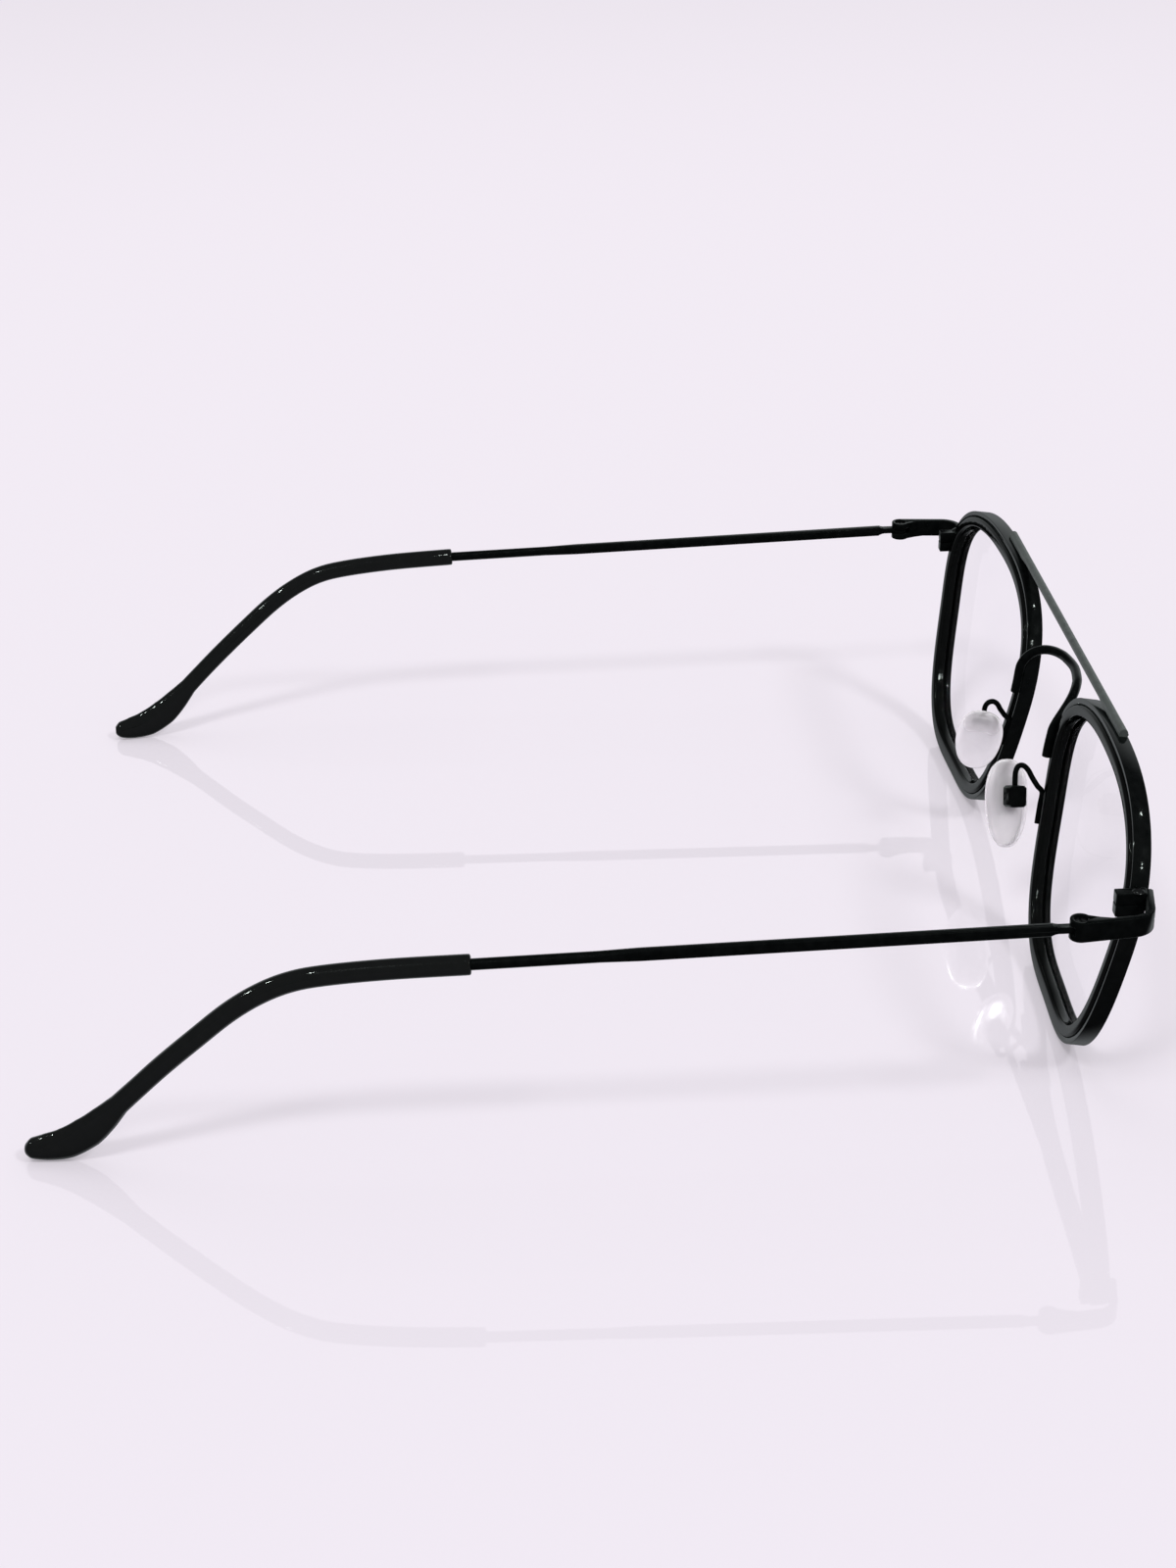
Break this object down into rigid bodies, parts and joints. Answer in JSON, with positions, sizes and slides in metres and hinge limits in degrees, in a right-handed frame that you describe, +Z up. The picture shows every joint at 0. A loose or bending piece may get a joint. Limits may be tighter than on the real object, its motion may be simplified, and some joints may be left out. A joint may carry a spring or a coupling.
{
  "type": "eyeglasses",
  "caption": "Square full-rim eyeglasses with a straight brow bar above an arched bridge, plastic rings inside slim metal bands, adjustable nose pads and folding temples",
  "frame": {"origin": "centre of the bounding box's bottom, on the table the glasses stand on", "axes": "+Z up, +X towards the wearer's left, -Y the way the front looks, the temples run towards +Y"},
  "size_m": [0.1366, 0.1494, 0.0424],
  "materials": {
    "frame_metal": "satin black coating",
    "temple_metal": "satin black coating",
    "screw_metal": "semi-gloss black",
    "ring_plastic": "polished black",
    "sleeve_plastic": "polished black",
    "lens": "clear, polished",
    "pad_silicone": "clear, slightly frosted",
    "insert_plastic": "clear hard plastic"
  },
  "bodies": {
    "front": {"brow_bar": "frame_metal", "lower_bridge": "frame_metal", "left_rim_band": "frame_metal", "right_rim_band": "frame_metal", "left_inner_ring": "ring_plastic", "right_inner_ring": "ring_plastic", "left_lens": "lens", "right_lens": "lens", "left_pad_arm": "frame_metal", "right_pad_arm": "frame_metal", "left_pad_box": "frame_metal", "right_pad_box": "frame_metal", "left_pad_screw": "screw_metal", "right_pad_screw": "screw_metal", "left_end_piece": "frame_metal", "right_end_piece": "frame_metal", "left_upper_block": "frame_metal", "right_upper_block": "frame_metal", "left_lower_block": "frame_metal", "right_lower_block": "frame_metal", "left_closing_screw": "screw_metal", "right_closing_screw": "screw_metal", "left_hinge_screw": "screw_metal", "right_hinge_screw": "screw_metal"},
    "left_temple": {"left_temple": "temple_metal", "left_tip_sleeve": "sleeve_plastic"},
    "right_temple": {"right_temple": "temple_metal", "right_tip_sleeve": "sleeve_plastic"},
    "left_pad": {"left_nose_pad": "pad_silicone", "left_pad_insert": "insert_plastic"},
    "right_pad": {"right_nose_pad": "pad_silicone", "right_pad_insert": "insert_plastic"}
  },
  "joints": [
    {"name": "left_temple_fold", "type": "hinge", "parent": "front", "child": "left_temple", "pos_m": [0.0669, -0.05971, 0.03071], "axis": [0, 0, 1], "range_deg": [0, 88]},
    {"name": "right_temple_fold", "type": "hinge", "parent": "front", "child": "right_temple", "pos_m": [-0.0669, -0.05971, 0.03071], "axis": [0, 0, -1], "range_deg": [0, 80]},
    {"name": "left_pad_rock", "type": "hinge", "parent": "front", "child": "left_pad", "pos_m": [0.01193, -0.06339, 0.0205], "axis": [0.2588, 0.9546, 0.1478], "range_deg": [0, 12]},
    {"name": "right_pad_rock", "type": "hinge", "parent": "front", "child": "right_pad", "pos_m": [-0.01193, -0.06339, 0.0205], "axis": [0.2588, -0.9546, -0.1478], "range_deg": [0, 12]}
  ]
}
